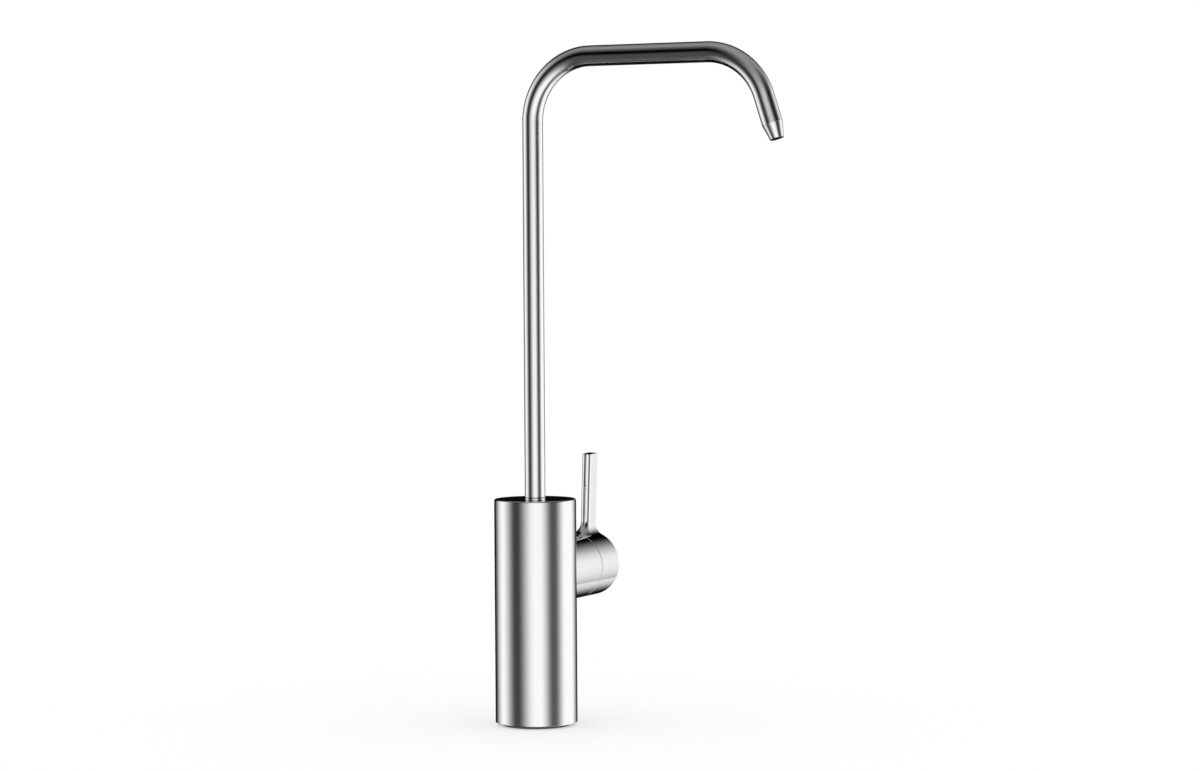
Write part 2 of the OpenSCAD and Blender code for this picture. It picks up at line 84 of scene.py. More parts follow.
camera_data = bpy.data.cameras.new("product_camera")
camera_data.lens = LENS
camera_data.sensor_width = SENSOR_WIDTH
camera = new_object("product_camera", camera_data)
camera_axes = Matrix((rolled_right, rolled_up, -camera_ahead)).transposed()
camera.matrix_world = Matrix.Translation(CAMERA_PLACE) @ camera_axes.to_4x4()
bpy.context.scene.camera = camera
print("camera stands", round(CAMERA_PLACE.length, 3), "m from the foot of the tap")

# %% [markdown]
# Helpers for finishes
#
# Colours are written as sRGB hex, the way a colour picker shows them, and turned to the linear values
# that the renderer works in. One function adds a node, sets its options and connects or fills its inputs.
# A noise texture stays mostly within a middle range, and that range is spread over the values of a finish.

# %% Finish helpers
NOISE_LOW = 0.3
NOISE_HIGH = 0.7


def linear(hex_colour):
    channels = [int(hex_colour[i:i + 2], 16) / 255 for i in (1, 3, 5)]
    return tuple(c / 12.92 if c <= 0.04045 else ((c + 0.055) / 1.055) ** 2.4 for c in channels) + (1.0,)


def add_node(tree, kind, options=None, inputs=None):
    node = tree.nodes.new(kind)
    for name, value in (options or {}).items():
        setattr(node, name, value)
    for socket, value in (inputs or {}).items():
        if isinstance(value, bpy.types.NodeSocket):
            tree.links.new(value, node.inputs[socket])
        else:
            node.inputs[socket].default_value = value
    return node


def new_finish(name):
    material = bpy.data.materials.new(name)
    material.use_nodes = True
    tree = material.node_tree
    tree.nodes.clear()
    return material, tree


print("middle grey #808080 is", round(linear("#808080")[0], 3), "in linear light")

# %% [markdown]
# Mirror-polished steel
#
# The outside of the tap is stainless steel buffed to a mirror. A real mirror finish is never quite even:
# the buffing wheel leaves slow patches of slightly softer gloss, about two centimetres wide, and hair-fine
# lines. Both go into the roughness, and the lines into a very low bump. The lines are drawn about 0.3 mm
# apart, coarser than real ones, so that they can show at all.

# %% Polished steel
def polished_steel():
    material, tree = new_finish("mirror_polished_stainless_steel")
    patch_width = 18 * MM
    line_spacing = 0.3 * MM
    line_length = 25 * MM
    line_depth = 0.002 * MM
    clear_gloss = 0.045
    soft_gloss = 0.075
    line_softness = 0.02
    place = add_node(tree, "ShaderNodeTexCoord").outputs["Object"]
    patches = add_node(tree, "ShaderNodeTexNoise", {}, {
        "Vector": place, "Scale": 1 / patch_width, "Detail": 2.0, "Roughness": 0.5})
    stretched = add_node(tree, "ShaderNodeMapping", {}, {
        "Vector": place, "Scale": (1 / line_length, 1 / line_length, 1 / line_spacing)})
    lines = add_node(tree, "ShaderNodeTexNoise", {}, {
        "Vector": stretched.outputs["Vector"], "Scale": 1.0, "Detail": 2.0, "Roughness": 0.6})
    tone = add_node(tree, "ShaderNodeMix", {"data_type": "RGBA"}, {
        0: patches.outputs["Fac"], 6: linear("#F8F9FA"), 7: linear("#FDFDFE")})
    patch_gloss = add_node(tree, "ShaderNodeMapRange", {}, {
        "Value": patches.outputs["Fac"], "From Min": NOISE_LOW, "From Max": NOISE_HIGH,
        "To Min": clear_gloss, "To Max": soft_gloss})
    line_gloss = add_node(tree, "ShaderNodeMapRange", {}, {
        "Value": lines.outputs["Fac"], "From Min": NOISE_LOW, "From Max": NOISE_HIGH,
        "To Min": 0.0, "To Max": line_softness})
    gloss = add_node(tree, "ShaderNodeMath", {"operation": "ADD"}, {
        0: patch_gloss.outputs["Result"], 1: line_gloss.outputs["Result"]})
    relief = add_node(tree, "ShaderNodeBump", {}, {
        "Height": lines.outputs["Fac"], "Strength": 0.02, "Distance": line_depth})
    shader = add_node(tree, "ShaderNodeBsdfPrincipled", {}, {
        "Base Color": tone.outputs[2], "Metallic": 1.0, "Roughness": gloss.outputs["Value"],
        "Normal": relief.outputs["Normal"]})
    add_node(tree, "ShaderNodeOutputMaterial", {}, {"Surface": shader.outputs["BSDF"]})
    return material


# Mirror-polished stainless steel: a clear, cool mirror that softens a little in slow patches
STEEL = polished_steel()
print(STEEL.name, "has", len(STEEL.node_tree.nodes), "nodes")

# %% [markdown]
# The finishes of the other pieces
#
# Every other finish here is one material seen close: a grain of a known size that shifts its colour, its
# gloss and its relief a little. Turned brass, drawn steel, die-cast zinc, moulded rubber, acetal and
# lapped alumina differ in those numbers and in whether the grain is stretched into tool marks, so one
# function makes them all.

# %% Grained finishes
def grained_finish(name, dark, light, grain, gloss, relief, metallic=0.0, stretch=(1, 1, 1)):
    material, tree = new_finish(name)
    place = add_node(tree, "ShaderNodeTexCoord").outputs["Object"]
    scaled = add_node(tree, "ShaderNodeMapping", {}, {
        "Vector": place, "Scale": tuple(1 / (grain * s) for s in stretch)})
    grains = add_node(tree, "ShaderNodeTexNoise", {}, {
        "Vector": scaled.outputs["Vector"], "Scale": 1.0, "Detail": 4.0, "Roughness": 0.6})
    tone = add_node(tree, "ShaderNodeMix", {"data_type": "RGBA"}, {
        0: grains.outputs["Fac"], 6: linear(dark), 7: linear(light)})
    roughness = add_node(tree, "ShaderNodeMapRange", {}, {
        "Value": grains.outputs["Fac"], "From Min": NOISE_LOW, "From Max": NOISE_HIGH,
        "To Min": gloss[0], "To Max": gloss[1]})
    bump = add_node(tree, "ShaderNodeBump", {}, {
        "Height": grains.outputs["Fac"], "Strength": 0.35, "Distance": relief})
    shader = add_node(tree, "ShaderNodeBsdfPrincipled", {}, {
        "Base Color": tone.outputs[2], "Metallic": metallic, "Roughness": roughness.outputs["Result"],
        "Normal": bump.outputs["Normal"]})
    add_node(tree, "ShaderNodeOutputMaterial", {}, {"Surface": shader.outputs["BSDF"]})
    print(name, "has a grain of", round(grain / MM, 2), "mm")
    return material


# Turned brass: warm metal with fine rings from the lathe tool
BRASS = grained_finish("turned_brass", "#B08A4A", "#D8B673", grain=0.25 * MM, gloss=(0.22, 0.34),
                       relief=0.01 * MM, metallic=1.0, stretch=(30, 30, 1))
# Drawn stainless tube: pale metal with faint lines along its length
DRAWN_STEEL = grained_finish("drawn_stainless_steel", "#A9ABAD", "#C9CBCD", grain=0.3 * MM,
                             gloss=(0.24, 0.36), relief=0.01 * MM, metallic=1.0, stretch=(1, 1, 40))
# Die-cast zinc: dull grey metal with a slightly pitted skin
ZINC = grained_finish("die_cast_zinc", "#85878A", "#A6A8AB", grain=0.8 * MM, gloss=(0.42, 0.6),
                      relief=0.04 * MM, metallic=1.0)
# Moulded rubber: almost black, with a dry bloom that greys it in patches
RUBBER = grained_finish("moulded_epdm_rubber", "#2A2B2C", "#3B3C3D", grain=1.2 * MM, gloss=(0.62, 0.82),
                        relief=0.03 * MM)
# The ring under the barrel: a softer, greyer rubber
GREY_RUBBER = grained_finish("moulded_grey_rubber", "#565758", "#676869", grain=1.2 * MM,
                             gloss=(0.62, 0.82), relief=0.03 * MM)
# Moulded acetal: waxy plastic, in white for the cartridge and in black for the sliding rings
WHITE_ACETAL = grained_finish("moulded_white_acetal", "#E4E3DE", "#F0EFEA", grain=1.5 * MM,
                              gloss=(0.34, 0.46), relief=0.01 * MM)
BLACK_ACETAL = grained_finish("moulded_black_acetal", "#17181A", "#232426", grain=1.0 * MM,
                              gloss=(0.36, 0.5), relief=0.01 * MM)
# Moulded ABS: even grey with a low sheen, for the small plug under the hub
GREY_ABS = grained_finish("moulded_grey_abs", "#A4A6A8", "#B4B6B8", grain=0.7 * MM, gloss=(0.28, 0.4),
                          relief=0.01 * MM)
# Lapped alumina: ivory ceramic with a satin gloss
ALUMINA = grained_finish("lapped_alumina_ceramic", "#EAE5D6", "#F6F2E6", grain=0.5 * MM, gloss=(0.12, 0.2),
                         relief=0.003 * MM)

# %% [markdown]
# A skin of patches
#
# Most of the rebuilt pieces are patches of quads. Each patch brings the normal of every corner, worked out
# from its shape, points that fall on one another are shared, and a face is turned round if it faces
# against its normals. Edges between patches are smooth where their normals agree and sharp where they
# don't, so no shading is left to chance.

# %% Patch builder
WELD = 1e-7


class Skin:
    def __init__(self):
        self.places = []
        self.shared = {}
        self.faces = []
        self.corner_normals = []

    def vertex(self, place):
        key = tuple(round(float(c) / WELD) for c in place)
        if key not in self.shared:
            self.shared[key] = len(self.places)
            self.places.append(tuple(float(c) for c in place))
        return self.shared[key]

    def face(self, places, normals):
        corners = [self.vertex(p) for p in places]
        kept = [i for i in range(len(corners)) if corners[i] != corners[i - 1]]
        if len(kept) < 3:
            return
        ring = np.array([places[i] for i in kept])
        facing = np.cross(ring, np.roll(ring, -1, axis=0)).sum(axis=0)
        if facing @ np.sum(normals, axis=0) < 0:
            kept.reverse()
        self.faces.append([corners[i] for i in kept])
        self.corner_normals += [tuple(normals[i]) for i in kept]

    def grid(self, places, normals):
        for i in range(len(places) - 1):
            for j in range(len(places[i]) - 1):
                around = ((i, j), (i + 1, j), (i + 1, j + 1), (i, j + 1))
                self.face([places[a][b] for a, b in around], [normals[a][b] for a, b in around])

    def cap(self, places, normal):
        self.face(list(places), [np.array(normal)] * len(places))

    def piece(self, name, material, body, slot, *stands_for):
        mesh = bpy.data.meshes.new(name)
        mesh.from_pydata(self.places, [], self.faces)
        mesh.polygons.foreach_set("use_smooth", [True] * len(mesh.polygons))
        mesh.normals_split_custom_set(self.corner_normals)
        mesh.materials.append(material)
        dress(new_object(name, mesh), body, slot, *stands_for)


def dress(piece, body, slot, *stands_for):
    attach(piece, body)
    if stands_for:
        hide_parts(*stands_for)
    print(piece.name, "has", len(piece.data.polygons), "faces and stands for", stands_for)


print("points on a grid of", round(WELD / MM, 4), "mm are shared")

# %% [markdown]
# Turned shapes
#
# Most of the tap is turned on a lathe, so most pieces are an outline spun about an axis. An outline is a
# list of corners, each with its own edge rounding, because no real edge is a knife edge and a polished
# one shows as a bright line. Going round the outline anticlockwise, with the axis on the left, keeps the
# outside on the right.

# %% Lathe
SEGMENTS = 192
ARC_STEP = math.radians(12)


def turned(local, axes):
    return local @ np.array(axes.to_3x3()).T


def placed(local, axes):
    return turned(local, axes) + np.array(axes.translation)


def rounded_outline(corners):
    points = np.array([c[:2] for c in corners], float)
    outline = []
    for i, (_, _, radius) in enumerate(corners):
        before = points[i] - points[i - 1]
        after = points[(i + 1) % len(points)] - points[i]
        before /= np.linalg.norm(before)
        after /= np.linalg.norm(after)
        turn = math.atan2(before[0] * after[1] - before[1] * after[0], before @ after)
        start = points[i] - before * radius * math.tan(abs(turn) / 2)
        heading = math.atan2(before[1], before[0])
        steps = max(1, math.ceil(abs(turn) / ARC_STEP))
        side = math.copysign(1, turn)
        centre = start + side * radius * np.array((-before[1], before[0]))
        for k in range(steps + 1):
            now = heading + turn * k / steps
            outward = np.array((math.sin(now), -math.cos(now)))
            outline.append((*(centre + side * radius * outward), *outward))
    outline.append(outline[0])
    return np.array(outline)


def spin(skin, corners, axes=Matrix.Identity(4), reshape=None):
    outline = rounded_outline(corners)
    angles = np.linspace(0, 2 * math.pi, SEGMENTS + 1)
    round_x, round_y = np.cos(angles), np.sin(angles)
    radius, along, out_radius, out_along = (column[:, None] for column in outline.T)
    level = np.ones_like(angles)
    places = np.stack((radius * round_x, radius * round_y, along * level), axis=-1)
    normals = np.stack((out_radius * round_x, out_radius * round_y, out_along * level), axis=-1)
    places = placed(places, axes)
    if reshape:
        places = reshape(places)
    skin.grid(places, turned(normals, axes))


print("a turned piece has", SEGMENTS, "steps round")

# %% [markdown]
# Walls with a round hole
#
# The barrel and the hub are round walls with a round hole in their side. A boolean cut would leave long
# thin faces beside the hole, and polished metal would show them. So the wall round the hole is drawn as
# rings of quads that change from the hole's circle to a rectangle, and a plain grid meets the rectangle.

# %% Walls with a round hole
HOLE_RINGS = 8


def blend_rings(inner, outer, steps):
    share = np.linspace(0, 1, steps + 1)[:, None, None]
    return inner[None] * (1 - share) + outer[None] * share


def rectangle_ring(across, along):
    low, high = across[0], across[-1]
    bottom, top = along[0], along[-1]
    ring = [(low, a) for a in along[::-1][:-1]] + [(c, bottom) for c in across[:-1]]
    ring += [(high, a) for a in along[:-1]] + [(c, top) for c in across[::-1]]
    return np.array(ring)


def grid_of(across, along):
    return np.stack(np.meshgrid(across, along, indexing="ij"), axis=-1)


def on_cylinder(flat, radius, axes):
    angle, along = flat[..., 0], flat[..., 1]
    level = np.zeros_like(angle)
    normals = np.stack((np.cos(angle), np.sin(angle), level), axis=-1)
    places = normals * radius + np.stack((level, level, along), axis=-1)
    return placed(places, axes), turned(normals, axes)


def add_wall(skin, flat, radius, axes, facing=1):
    places, normals = on_cylinder(flat, radius, axes)
    skin.grid(places, normals * facing)


def walled_hole(skin, radius, hole_radius, middle, across, along, axes, facing):
    ring = rectangle_ring(across, along)
    bearing = np.arctan2(ring[:, 1] - middle, radius * ring[:, 0])
    hole = np.stack((np.arcsin(hole_radius * np.cos(bearing) / radius),
                     middle + hole_radius * np.sin(bearing)), axis=-1)
    add_wall(skin, blend_rings(hole, ring, HOLE_RINGS), radius, axes, facing)
    inward = -np.stack((np.zeros_like(bearing), np.cos(bearing), np.sin(bearing)), axis=-1)
    return on_cylinder(hole, radius, axes)[0], turned(inward, axes)


print("a hole in a wall has", HOLE_RINGS, "rings round it")

# %% [markdown]
# Rings, flats and bores
#
# The ends of these walls are rings: rounded rims, flat faces and bores. They are not spun like the other
# turned pieces, because their points have to meet the points of the wall.

# %% Rings, flats and bores
RIM_STEPS = 6


def add_rings(skin, around, axes, *stations):
    round_x, round_y = np.cos(around), np.sin(around)
    level = np.ones_like(around)
    places = []
    normals = []
    for radius, along, out, up in stations:
        places.append(placed(np.stack((radius * round_x, radius * round_y, along * level), axis=-1), axes))
        normals.append(turned(np.stack((out * round_x, out * round_y, up * level), axis=-1), axes))
    skin.grid(places, normals)


def add_rim(skin, around, axes, radius, end, edge, up, steps=RIM_STEPS):
    stations = []
    for angle in np.linspace(0, math.pi / 2, steps + 1):
        inset = edge * (1 - math.cos(angle))
        drop = edge * (1 - math.sin(angle))
        stations.append((radius - inset, end - up * drop, math.cos(angle), up * math.sin(angle)))
    add_rings(skin, around, axes, *stations)


def add_flat(skin, around, axes, level, radii, up):
    add_rings(skin, around, axes, *((radius, level, 0, up) for radius in radii))


def add_bore(skin, around, axes, radius, levels, out=-1):
    add_rings(skin, around, axes, *((radius, level, out, 0) for level in levels))


print("a rounded rim has", RIM_STEPS, "steps")

# %% [markdown]
# The barrel
#
# The barrel is a drawn steel cup, upside down: a closed top with a hole for the spout's collar, and a
# round hole in its side where the valve's branch goes in. Its upper edge is rounded more than its lower
# one.

# %% Barrel
BARREL_WALL = 1.6 * MM
BARREL_TOP = 3.0 * MM
BARREL_EDGE = 0.8 * MM
FOOT_EDGE = 0.3 * MM
SPIGOT_WALL = 2.0 * MM
FIT = 0.05 * MM
WINDOW_HALF = math.radians(57)
WINDOW_MARGIN = 2.0 * MM
WINDOW_STEPS = 60
BAND_STEPS = 32
REST_STEPS = 131
barrel_low, barrel_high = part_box("barrel")
barrel_radius = barrel_high.x
barrel_bore = barrel_radius - BARREL_WALL
collar_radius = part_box("spout_tube")[1].x
branch_low, branch_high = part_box("valve_branch")
branch_radius = branch_high.y
valve_height = (branch_low.z + branch_high.z) / 2
cartridge_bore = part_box("port_plate")[1].y + FIT
spigot_radius = cartridge_bore + SPIGOT_WALL


def make_barrel():
    skin = Skin()
    upright = Matrix.Identity(4)
    window = np.linspace(-WINDOW_HALF, WINDOW_HALF, WINDOW_STEPS + 1)
    rest = np.linspace(window[-1], window[0] + 2 * math.pi, REST_STEPS + 1)
    reach = spigot_radius + WINDOW_MARGIN
    band = np.linspace(valve_height - reach, valve_height + reach, BAND_STEPS + 1)
    top_inside = barrel_high.z - BARREL_TOP
    walls = ((barrel_radius, 1, barrel_low.z + FOOT_EDGE, barrel_high.z - BARREL_EDGE),
             (barrel_bore, -1, barrel_low.z, top_inside))
    holes = []
    for radius, facing, bottom, top in walls:
        holes.append(walled_hole(
            skin, radius, spigot_radius + FIT, valve_height, window, band, upright, facing))
        heights = np.concatenate(([bottom], band, [top]))
        add_wall(skin, grid_of(rest, heights), radius, upright, facing)
        for low, high in ((bottom, band[0]), (band[-1], top)):
            add_wall(skin, grid_of(window, (low, high)), radius, upright, facing)
    skin.grid([edge for edge, _ in holes], [inward for _, inward in holes])

    around = np.concatenate((window, rest[1:]))
    collar_hole = collar_radius + FIT
    add_rim(skin, around, upright, barrel_radius, barrel_high.z, BARREL_EDGE, 1)
    add_rim(skin, around, upright, barrel_radius, barrel_low.z, FOOT_EDGE, -1)
    add_flat(skin, around, upright, barrel_high.z, (barrel_radius - BARREL_EDGE, collar_hole), 1)
    add_bore(skin, around, upright, collar_hole, (barrel_high.z, top_inside))
    add_flat(skin, around, upright, top_inside, (collar_hole, barrel_bore), -1)
    add_flat(skin, around, upright, barrel_low.z, (barrel_bore, barrel_radius - FOOT_EDGE), -1)
    skin.piece("polished_barrel", STEEL, "tap_body", "polished_steel", "barrel")


make_barrel()

# %% [markdown]
# The valve's branch
#
# The branch is a turned tube that goes into the barrel's side and holds the valve cartridge. Its shoulder
# is cut to sit on the barrel, so the ring of points there is pushed along the branch until it lies on the
# round wall.

# %% Valve branch
SEAM_EDGE = 0.15 * MM
SHOULDER_BAND = 0.5 * MM
FLOOR_THICKNESS = 2.5 * MM
nut_low, nut_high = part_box("cartridge_nut")
nut_bore = nut_high.y + FIT
cup_floor = branch_low.x + FLOOR_THICKNESS


def valve_axes(lean=0.0):
    along = Vector((1, 0, 0))
    up = Vector((0, -math.sin(lean), math.cos(lean)))
    axes = Matrix((up, along.cross(up), along)).transposed().to_4x4()
    axes.translation = (0, 0, valve_height)
    return axes


def seat_on_barrel(places):
    at_shoulder = np.abs(places[..., 0] - barrel_radius) < SHOULDER_BAND
    round_wall = np.sqrt(barrel_radius ** 2 - places[..., 1] ** 2)
    seated = places.copy()
    seated[..., 0] = np.where(at_shoulder, places[..., 0] + round_wall - barrel_radius, places[..., 0])
    return seated


def make_branch():
    skin = Skin()
    spin(skin, (
        (0, branch_low.x, 0), (spigot_radius, branch_low.x, SEAM_EDGE), (spigot_radius, barrel_radius, 0),
        (branch_radius, barrel_radius, 0), (branch_radius, branch_high.x, SEAM_EDGE),
        (nut_bore, branch_high.x, SEAM_EDGE), (nut_bore, nut_low.x, 0), (cartridge_bore, nut_low.x, 0),
        (cartridge_bore, cup_floor, 0), (0, cup_floor, 0)),
        valve_axes(), seat_on_barrel)
    skin.piece("polished_branch", STEEL, "tap_body", "polished_steel", "valve_branch")


make_branch()

# %% [markdown]
# The lever
#
# Hub and lever are one casting, so the lever grows out of the hub in a smooth hollow curve all round its
# foot. That curve is what a ball leaves when it rolls along the corner between lever and hub. Seen across
# the lever's wall, the ball touches the wall and the hub at once, which gives one equation for the place
# where it touches the hub. The lever, the curve and the hub then share their edge points, so the
# reflections run on without a break. The lever's top falls by less than half a millimetre towards the
# barrel, and shows as a thin dark face.

# %% Ball in the corner
LEVER_LEAN = math.radians(2.0)
LEVER_THICKNESS = 4.8 * MM
LEVER_DEPTH = 9.0 * MM
LEVER_HEIGHT = 55.6 * MM
HANDLE_EDGE = 0.15 * MM
HALVINGS = 60
hub_radius = branch_radius
hub_start, hub_end = (corner.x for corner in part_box("handle"))
hub_flat_end = hub_end - HANDLE_EDGE
lever_half = LEVER_THICKNESS / 2
lever_round = hub_end - LEVER_DEPTH + lever_half
handle_axes = valve_axes(LEVER_LEAN)


def touch_of_ball(ball, across):
    low, high = 0.0, ball
    for _ in range(HALVINGS):
        out = (low + high) / 2
        side = (lever_half + out) * across
        height = math.sqrt(hub_radius ** 2 - side ** 2)
        slope = side * across / height
        if out + ball * slope / math.hypot(1, slope) < ball:
            low = out
        else:
            high = out
    return height + ball / math.hypot(1, slope), math.atan2(1, slope)


print("lever stands", round((LEVER_HEIGHT - hub_radius) / MM, 1), "mm above the hub")

# %% [markdown]
# The lever is a sheet of columns that run from its top edge down to the hub: along one side, round its
# inner end and back along the other side. Round the inner end the ball's size changes a little, so the
# normals of the foot are taken from the points there.

# %% Lever and its foot
TOP_FALL = 0.4 * MM
FOOT_AT_SIDES = 6.0 * MM
FOOT_AT_BACK = 7.0 * MM
EDGE_STEPS = 5
STRAIGHT_STEPS = 10
BACK_STEPS = 40
FOOT_STEPS = 14


def lever_column(along, across, back):
    ball = FOOT_AT_BACK + (FOOT_AT_SIDES - FOOT_AT_BACK) * across ** 2
    centre_height, sweep = touch_of_ball(ball, across)
    top = LEVER_HEIGHT - TOP_FALL * (hub_flat_end - along) / LEVER_DEPTH
    profile = []
    for angle in np.linspace(math.pi / 2, 0, EDGE_STEPS + 1):
        inset = HANDLE_EDGE * (1 - math.cos(angle))
        drop = HANDLE_EDGE * (1 - math.sin(angle))
        profile.append((-inset, top - drop, angle))
    for angle in np.linspace(0, sweep, FOOT_STEPS + 1):
        profile.append((ball * (1 - math.cos(angle)), centre_height - ball * math.sin(angle), angle))
    places = [(height, (lever_half + out) * across, along - out * back) for out, height, _ in profile]
    normals = [(math.sin(a), math.cos(a) * across, -math.cos(a) * back) for _, _, a in profile]
    return places, normals


def lever_grid():
    straight = np.linspace(hub_flat_end, lever_round, STRAIGHT_STEPS + 1)
    columns = [lever_column(along, -1.0, 0.0) for along in straight]
    for angle in np.linspace(-math.pi / 2, math.pi / 2, BACK_STEPS + 1)[1:-1]:
        along = lever_round - lever_half * math.cos(angle)
        columns.append(lever_column(along, math.sin(angle), math.cos(angle)))
    columns += [lever_column(along, 1.0, 0.0) for along in straight[::-1]]
    places = np.array([c[0] for c in columns])
    normals = np.array([c[1] for c in columns])
    foot = places[:, -FOOT_STEPS - 1:]
    facing = np.cross(np.gradient(foot, axis=0), np.gradient(foot, axis=1))
    facing /= np.linalg.norm(facing, axis=-1, keepdims=True)
    facing *= np.sign((facing * normals[:, -FOOT_STEPS - 1:]).sum(axis=-1, keepdims=True))
    inner_end = slice(STRAIGHT_STEPS, -STRAIGHT_STEPS)
    normals[inner_end, -FOOT_STEPS:] = facing[inner_end, 1:]
    normals[:, -1] = places[:, -1] * (1, 1, 0) / hub_radius
    return places, normals


lever_places, lever_normals = lever_grid()
print("lever columns and rows:", lever_places.shape[:2])

# %% [markdown]
# The hub's wall
#
# The hub is a cup, open towards the branch. Its wall is drawn in four parts: the top, where rings of
# quads run from the lever's foot out to a rectangle, two plain sides, and the bottom, where rings run
# round the small hole for the grub screw.

# %% Hub wall
HUB_HOLLOW = 13.5 * MM
HUB_HOLLOW_DEPTH = 15.2 * MM
TOP_HALF = 60
BOTTOM_HALF = 30
SIDE_STEPS = 36
BOTTOM_STEPS = 24
FOOT_RINGS = 10
screw_low, screw_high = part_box("handle_plug")
screw_along = (screw_low.x + screw_high.x) / 2
screw_hole = screw_high.x - screw_along + FIT
hub_seam = hub_start + SEAM_EDGE
hollow_end = hub_start + HUB_HOLLOW_DEPTH
hub_stations = np.linspace(hub_flat_end, hub_seam, STRAIGHT_STEPS + 1)
hollow_stations = np.linspace(hub_start, hollow_end, STRAIGHT_STEPS + 1)
hub_top = np.radians(np.linspace(-TOP_HALF, TOP_HALF, BACK_STEPS + 1))
hub_right = np.radians(np.linspace(TOP_HALF, 180 - BOTTOM_HALF, SIDE_STEPS + 1))
hub_bottom = np.radians(np.linspace(-BOTTOM_HALF, BOTTOM_HALF, BOTTOM_STEPS + 1))
hub_left = np.radians(np.linspace(180 + BOTTOM_HALF, 360 - TOP_HALF, SIDE_STEPS + 1))
foot_edge = lever_places[:, -1]
foot_ring = np.stack((np.arctan2(foot_edge[:, 1], foot_edge[:, 0]), foot_edge[:, 2]), axis=-1)
frame_ring = np.array([(hub_top[0], s) for s in hub_stations] + [(a, hub_seam) for a in hub_top[1:-1]]
                      + [(hub_top[-1], s) for s in hub_stations[::-1]])
top_rings = blend_rings(foot_ring, frame_ring, FOOT_RINGS)


def add_hub_wall(skin):
    add_wall(skin, top_rings, hub_radius, handle_axes)
    for side in (hub_right, hub_left):
        add_wall(skin, grid_of(side, hub_stations), hub_radius, handle_axes)
    rest = np.concatenate((hub_left, hub_top[1:] + 2 * math.pi, hub_right[1:] + 2 * math.pi))
    add_wall(skin, grid_of(rest, hollow_stations), HUB_HOLLOW, handle_axes, -1)
    under = handle_axes @ Matrix.Rotation(math.pi, 4, "Z")
    outer_edge, outer_inward = walled_hole(
        skin, hub_radius, screw_hole, screw_along, hub_bottom, hub_stations[::-1], under, 1)
    inner_edge, inner_inward = walled_hole(
        skin, HUB_HOLLOW, screw_hole, screw_along, hub_bottom, hollow_stations, under, -1)
    skin.grid((outer_edge, inner_edge), (outer_inward, inner_inward))


print("hub is", round((hub_end - hub_start) / MM, 2), "mm long")

# %% [markdown]
# The hub's inside and its end
#
# Inside the cup a round boss with a square socket takes the valve's stem. The outer end is a flat face
# with the outline of lever and hub together, and one fine rounding runs all the way round it.

# %% Hub inside and end
BOSS_RADIUS = 6.75 * MM
STEM_SOCKET = 3.55 * MM
STEM_DEPTH = 14.0 * MM
SEAM_STEPS = 4
END_STEPS = 6


def add_hub_inside(skin):
    around = np.concatenate((hub_top, hub_right[1:], hub_bottom[1:] + math.pi, hub_left[1:]))
    square = STEM_SOCKET / np.maximum(np.abs(np.cos(around)), np.abs(np.sin(around)))
    stem_end = hub_start + STEM_DEPTH
    add_rim(skin, around, handle_axes, hub_radius, hub_start, SEAM_EDGE, -1, SEAM_STEPS)
    add_flat(skin, around, handle_axes, hub_start, (hub_radius - SEAM_EDGE, HUB_HOLLOW), -1)
    add_flat(skin, around, handle_axes, hollow_end, (HUB_HOLLOW, BOSS_RADIUS), -1)
    add_bore(skin, around, handle_axes, BOSS_RADIUS, (hollow_end, hub_start), 1)
    add_flat(skin, around, handle_axes, hub_start, (BOSS_RADIUS, square), -1)
    add_bore(skin, around, handle_axes, square, (hub_start, stem_end))
    add_flat(skin, around, handle_axes, stem_end, (square, 0), -1)


def add_hub_end(skin):
    sweep = np.concatenate((top_rings[1:, -1, 0], hub_right[1:], hub_bottom[1:] + math.pi, hub_left[1:],
                            top_rings[::-1, 0, 0][1:] + 2 * math.pi))
    hub_edge = np.stack((np.cos(sweep), np.sin(sweep)), axis=-1)
    edge = np.concatenate((lever_places[-1, :, :2], hub_edge * hub_radius, lever_places[0, ::-1, :2][1:]))
    outward = np.concatenate((lever_normals[-1, :, :2], hub_edge, lever_normals[0, ::-1, :2][1:]))
    edge = np.vstack((edge, edge[:1]))
    outward = np.vstack((outward, outward[:1]))
    rolled = []
    rolled_normals = []
    for angle in np.linspace(0, math.pi / 2, END_STEPS + 1):
        inset = HANDLE_EDGE * (1 - math.cos(angle))
        along = np.full((len(edge), 1), hub_flat_end + HANDLE_EDGE * math.sin(angle))
        tilt = np.full((len(edge), 1), math.sin(angle))
        rolled.append(placed(np.hstack((edge - outward * inset, along)), handle_axes))
        rolled_normals.append(turned(np.hstack((outward * math.cos(angle), tilt)), handle_axes))
    skin.grid(rolled, rolled_normals)
    skin.cap(rolled[-1][:-1], (1.0, 0, 0))


def make_handle():
    skin = Skin()
    skin.grid(placed(lever_places, handle_axes), turned(lever_normals, handle_axes))
    up = np.array((LEVER_DEPTH, 0, -TOP_FALL)) / math.hypot(LEVER_DEPTH, TOP_FALL)
    skin.cap(placed(lever_places[:, 0], handle_axes), turned(up, handle_axes))
    add_hub_wall(skin)
    add_hub_inside(skin)
    add_hub_end(skin)
    skin.piece("polished_handle", STEEL, "handle", "polished_steel", "handle")


make_handle()

# %% [markdown]
# Shapes grown by Geometry Nodes
#
# Two pieces follow a path: the spout's tube and the thread in the base. Each gets a node tree of its own,
# with its sizes as named inputs. Growing a piece puts the tree on a small carrier mesh, fills the inputs,
# takes the result as a plain mesh and removes the modifiers, because only plain meshes can ride on a
# body.

# %% Node tree helpers
SHARP_ANGLE = math.radians(40)


